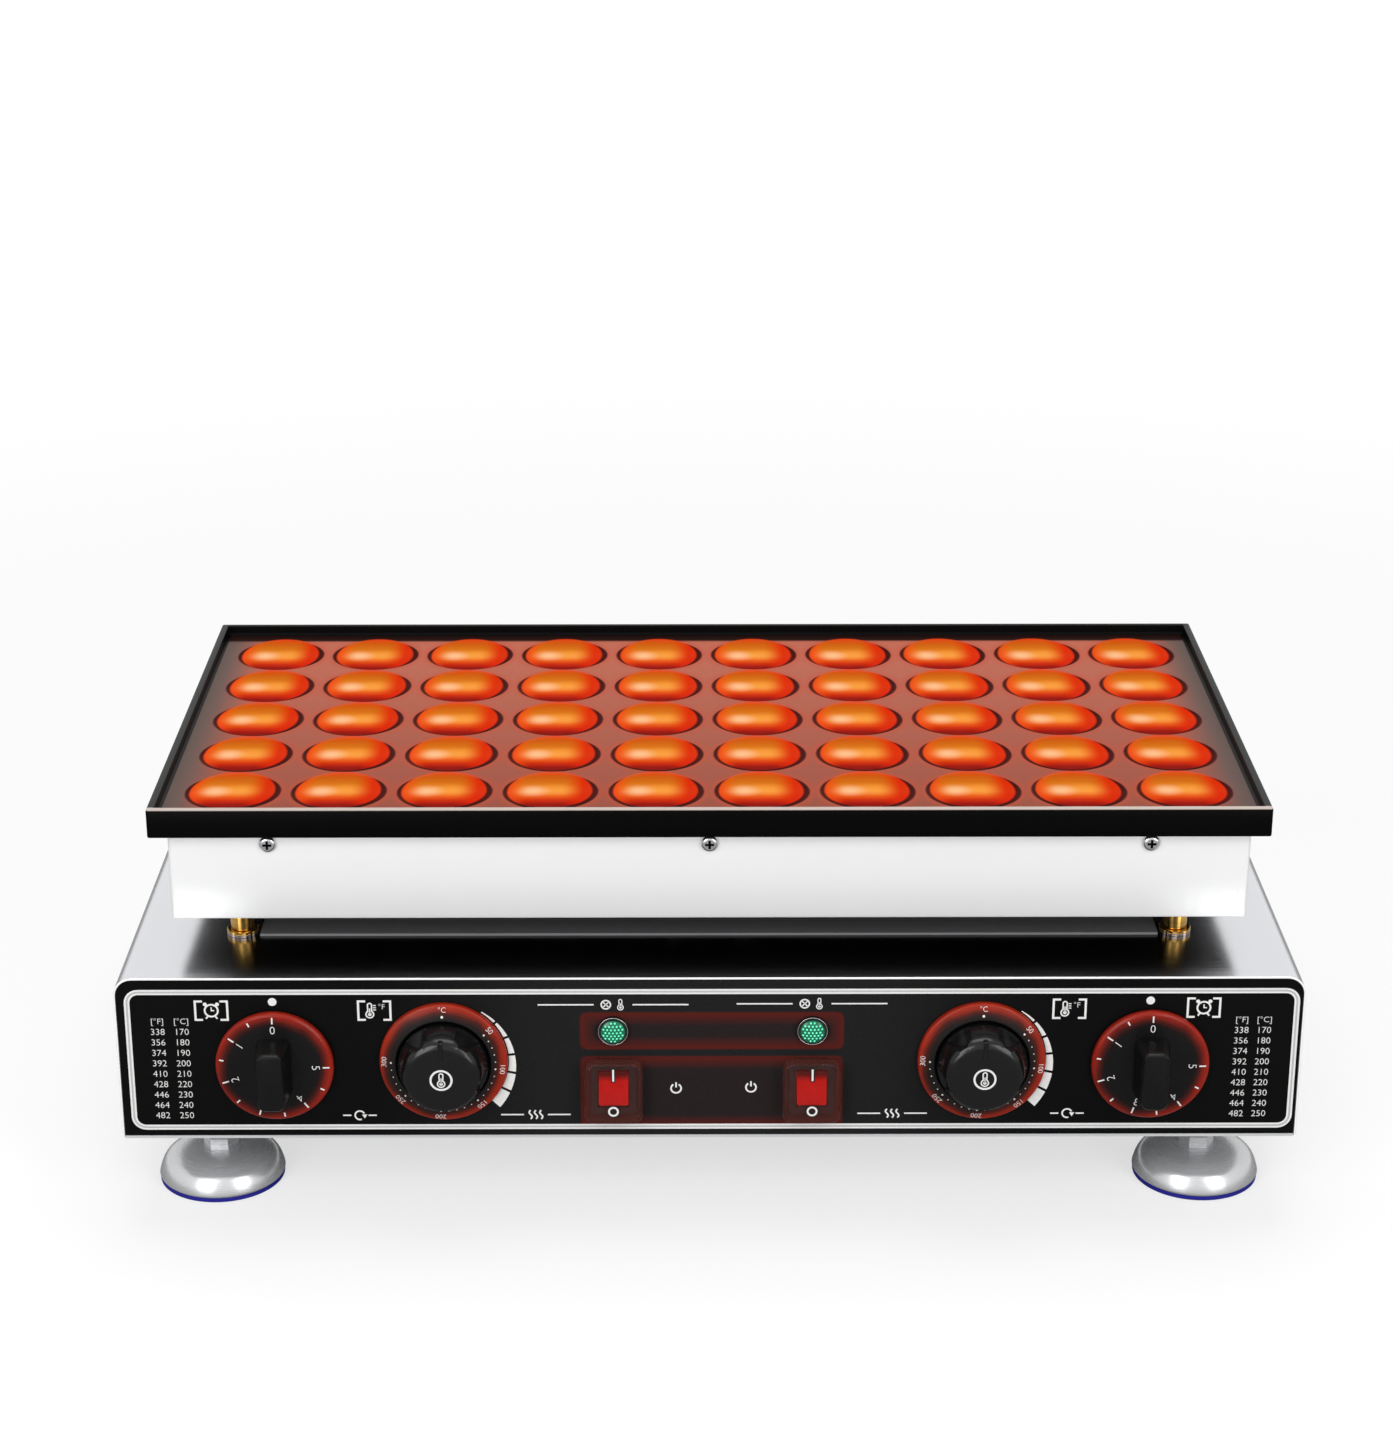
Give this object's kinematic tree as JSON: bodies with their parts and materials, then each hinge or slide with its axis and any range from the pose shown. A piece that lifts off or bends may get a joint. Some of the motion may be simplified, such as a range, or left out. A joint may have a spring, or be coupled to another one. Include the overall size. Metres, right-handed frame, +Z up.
{
  "type": "electric mini-pancake baker",
  "caption": "Countertop baker with a rimmed plate of round cups on a heater box, raised on posts above a control base with dial knobs, rocker switches, lamps and levelling feet.",
  "frame": {"origin": "on the floor under the middle of the machine's box", "axes": "+X to the right seen from the control side, +Y to the back, +Z up"},
  "size_m": [0.49, 0.335, 0.176],
  "materials": {
    "brushed_stainless": "brushed and polished sheet",
    "printed_fascia": "satin printed film",
    "nonstick_casting": "black non-stick coating on a casting",
    "element_sheath": "heat-darkened",
    "zinc_steel": "zinc plated",
    "screw_steel": "bright",
    "fibre_board": "pressed fibre",
    "brass": "turned and polished",
    "moulded_housing": "moulded",
    "dial_print": "satin, printed scale",
    "knob_plastic": "satin moulded",
    "switch_plastic": "moulded",
    "clear_boot": "clear flexible moulding",
    "red_rocker": "translucent",
    "green_lens": "faceted lens",
    "copper_tube": "drawn",
    "silicone_wire": "silicone insulation",
    "foot_steel": "satin turned",
    "blue_rubber": "moulded pad"
  },
  "bodies": {
    "chassis": {"base_casing": "brushed_stainless", "front_panel": "brushed_stainless", "fascia": "printed_fascia", "rear_panel": "brushed_stainless", "bottom_plate": "brushed_stainless", "heat_shield": "brushed_stainless", "heater_box": "brushed_stainless", "baking_plate": "nonstick_casting", "heater_element_left": "element_sheath", "heater_element_right": "element_sheath", "element_clamps": "zinc_steel", "clamp_screws": "zinc_steel", "insulation_board": "fibre_board", "brass_posts": "brass", "post_washers": "brass", "post_bolts": "zinc_steel", "post_nuts": "zinc_steel", "box_screws": "screw_steel", "timer_body_left": "moulded_housing", "timer_body_right": "moulded_housing", "thermostat_body_left": "moulded_housing", "thermostat_body_right": "moulded_housing", "thermostat_ring_left": "dial_print", "thermostat_ring_right": "dial_print", "capillary_left": "copper_tube", "capillary_right": "copper_tube", "switch_body_left": "switch_plastic", "switch_body_right": "switch_plastic", "switch_boot_left": "clear_boot", "switch_boot_right": "clear_boot", "lamp_body_left": "switch_plastic", "lamp_body_right": "switch_plastic", "lamp_lens_left": "green_lens", "lamp_lens_right": "green_lens", "control_screws": "screw_steel", "terminal_block": "moulded_housing", "wiring": "silicone_wire", "cable_gland": "switch_plastic", "gland_nut": "switch_plastic", "bottom_screws": "screw_steel", "rear_screws": "screw_steel", "foot_inserts": "zinc_steel"},
    "timer_dial_left": {"timer_knob_left": "knob_plastic", "timer_shaft_left": "zinc_steel"},
    "thermostat_dial_left": {"thermostat_knob_left": "knob_plastic", "thermostat_shaft_left": "zinc_steel"},
    "rocker_key_left": {"rocker_left": "red_rocker"},
    "timer_dial_right": {"timer_knob_right": "knob_plastic", "timer_shaft_right": "zinc_steel"},
    "thermostat_dial_right": {"thermostat_knob_right": "knob_plastic", "thermostat_shaft_right": "zinc_steel"},
    "rocker_key_right": {"rocker_right": "red_rocker"},
    "levelling_foot_front_left": {"foot_front_left": "foot_steel", "foot_pad_front_left": "blue_rubber"},
    "levelling_foot_front_right": {"foot_front_right": "foot_steel", "foot_pad_front_right": "blue_rubber"},
    "levelling_foot_rear_left": {"foot_rear_left": "foot_steel", "foot_pad_rear_left": "blue_rubber"},
    "levelling_foot_rear_right": {"foot_rear_right": "foot_steel", "foot_pad_rear_right": "blue_rubber"}
  },
  "joints": [
    {"name": "timer_left_turn", "type": "hinge", "parent": "chassis", "child": "timer_dial_left", "pos_m": [-0.1798, -0.1485, 0.071], "axis": [0, 1, 0], "range_deg": [0, 270]},
    {"name": "thermostat_left_turn", "type": "hinge", "parent": "chassis", "child": "thermostat_dial_left", "pos_m": [-0.11, -0.1485, 0.0725], "axis": [0, 1, 0], "range_deg": [0, 272]},
    {"name": "rocker_left_tilt", "type": "hinge", "parent": "chassis", "child": "rocker_key_left", "pos_m": [-0.0399, -0.1455, 0.0597], "axis": [1, 0, 0], "range_deg": [0, 20]},
    {"name": "timer_right_turn", "type": "hinge", "parent": "chassis", "child": "timer_dial_right", "pos_m": [0.1822, -0.1485, 0.071], "axis": [0, 1, 0], "range_deg": [0, 270]},
    {"name": "thermostat_right_turn", "type": "hinge", "parent": "chassis", "child": "thermostat_dial_right", "pos_m": [0.1124, -0.1485, 0.0725], "axis": [0, 1, 0], "range_deg": [0, 272]},
    {"name": "rocker_right_tilt", "type": "hinge", "parent": "chassis", "child": "rocker_key_right", "pos_m": [0.0423, -0.1455, 0.0597], "axis": [1, 0, 0], "range_deg": [0, 20]},
    {"name": "foot_front_left_lift", "type": "slide", "parent": "chassis", "child": "levelling_foot_front_left", "axis": [0, 0, -1], "range_m": [0, 0.008]},
    {"name": "foot_front_right_lift", "type": "slide", "parent": "chassis", "child": "levelling_foot_front_right", "axis": [0, 0, -1], "range_m": [0, 0.008]},
    {"name": "foot_rear_left_lift", "type": "slide", "parent": "chassis", "child": "levelling_foot_rear_left", "axis": [0, 0, -1], "range_m": [0, 0.008]},
    {"name": "foot_rear_right_lift", "type": "slide", "parent": "chassis", "child": "levelling_foot_rear_right", "axis": [0, 0, -1], "range_m": [0, 0.008]}
  ]
}
